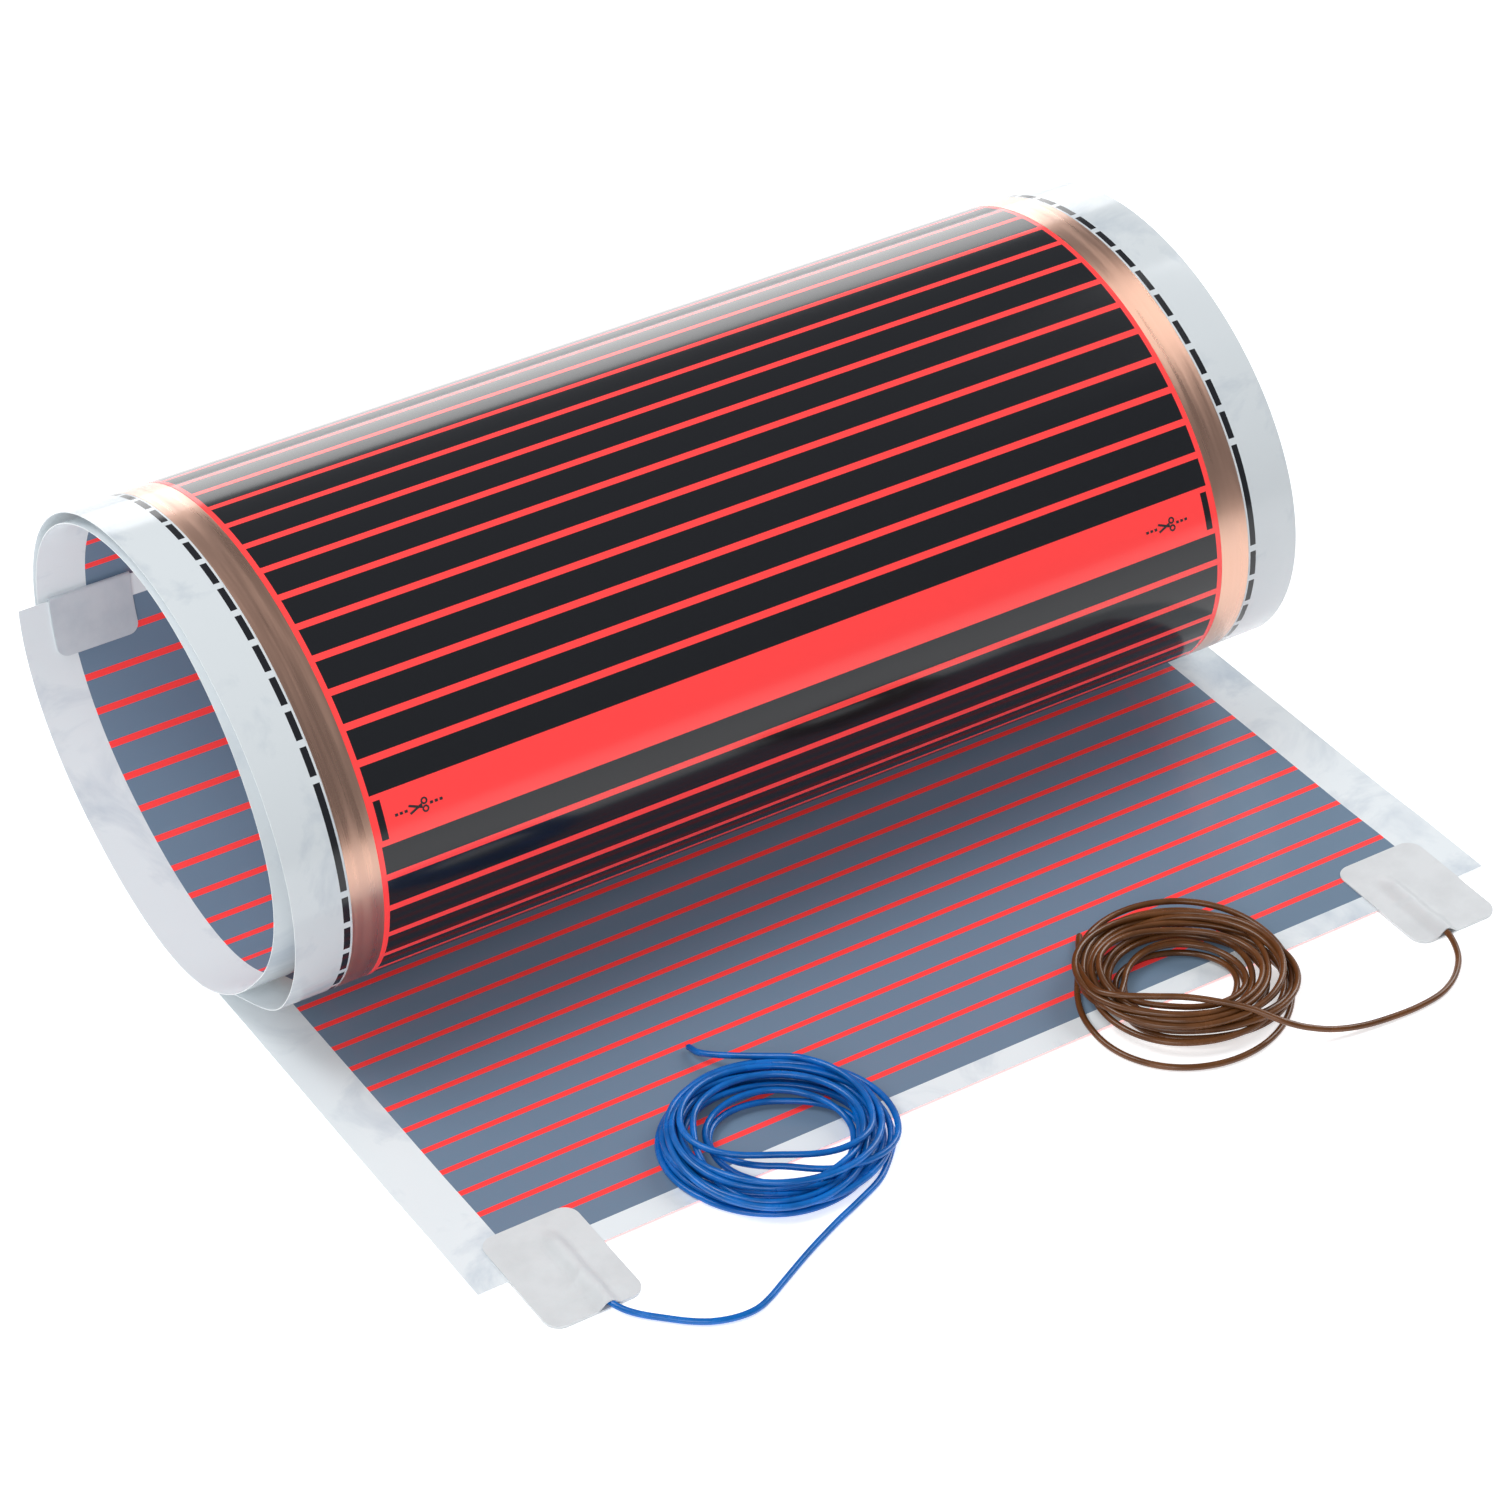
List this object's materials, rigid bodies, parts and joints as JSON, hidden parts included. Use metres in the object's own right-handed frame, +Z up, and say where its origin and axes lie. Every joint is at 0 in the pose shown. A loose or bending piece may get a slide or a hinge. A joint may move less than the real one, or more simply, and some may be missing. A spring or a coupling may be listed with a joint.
{
  "type": "electric underfloor heating film",
  "caption": "Infrared heating film for under a floor, partly rolled up, with copper strips, insulating pads and coiled lead wires.",
  "frame": {"origin": "centre of the base of the film and its pads, on the surface that they lie on", "axes": "+X across the film along the roll's axis, +Y along the film from its unrolled end to the roll, +Z up"},
  "size_m": [0.51, 0.445, 0.1974],
  "materials": {
    "film": "gloss",
    "copper": "satin",
    "pad": "satin",
    "blue_wire": "gloss",
    "brown_wire": "gloss"
  },
  "bodies": {
    "root": {"heating_film": "film", "copper_strip_left": "copper", "copper_strip_right": "copper", "front_pad_lower_left": "pad", "front_pad_upper_left": "pad", "front_pad_lower_right": "pad", "front_pad_upper_right": "pad", "end_pad_left": "pad", "end_pad_right": "pad", "blue_lead": "blue_wire", "blue_coil": "blue_wire", "blue_tail": "blue_wire", "brown_lead": "brown_wire", "brown_coil": "brown_wire", "brown_tail": "brown_wire"}
  },
  "joints": []
}
